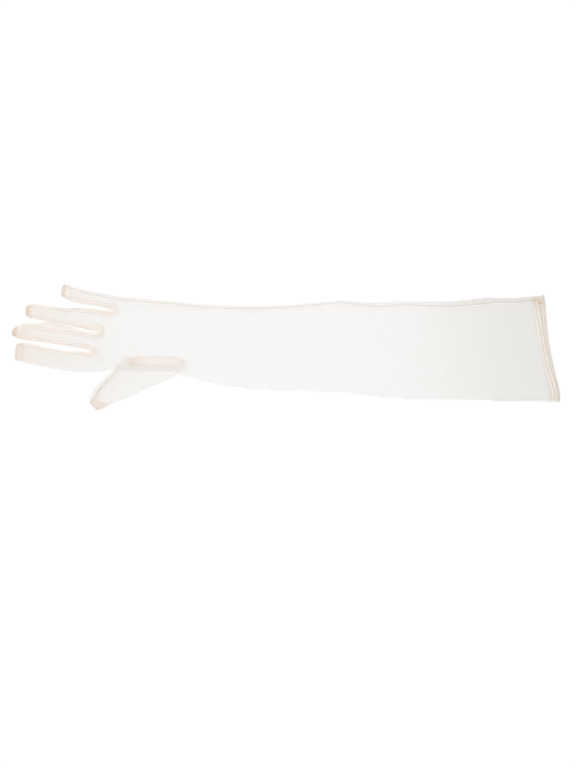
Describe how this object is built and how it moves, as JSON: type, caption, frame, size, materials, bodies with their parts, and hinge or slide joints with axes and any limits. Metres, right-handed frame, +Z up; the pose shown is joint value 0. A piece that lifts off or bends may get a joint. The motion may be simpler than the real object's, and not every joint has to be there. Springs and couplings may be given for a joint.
{
  "type": "mesh glove",
  "caption": "Sheer net opera-length glove lying flat with its palm up, with fourchettes between the fingers, a set-in thumb, a side seam and a turned-up cuff hem.",
  "frame": {"origin": "centre of the bounding box, on the surface that the glove lies on", "axes": "+X from the fingers to the cuff, +Y from the thumb and fold edge to the little finger and side seam, +Z up, out of the palm"},
  "size_m": [0.5616, 0.1562, 0.0099],
  "materials": {
    "net": "sheer soft net, nude",
    "fourchette_net": "the same net, two to four layers thick, nude",
    "seam": "stitched seam allowance, nude thread",
    "hem": "turned-up net with two rows of stitches",
    "gathered_tip": "net gathered into a dense seam"
  },
  "bodies": {
    "root": {"trank": "net", "thumb_piece": "net", "fourchette_index_middle": "fourchette_net", "fourchette_middle_ring": "fourchette_net", "fourchette_ring_little": "fourchette_net", "side_seam": "seam", "thumb_ring_seam": "seam", "thumb_side_seam": "seam", "cuff_hem": "hem", "index_tip_seam": "gathered_tip", "middle_tip_seam": "gathered_tip", "ring_tip_seam": "gathered_tip", "little_tip_seam": "gathered_tip", "thumb_tip_seam": "gathered_tip"}
  },
  "joints": []
}
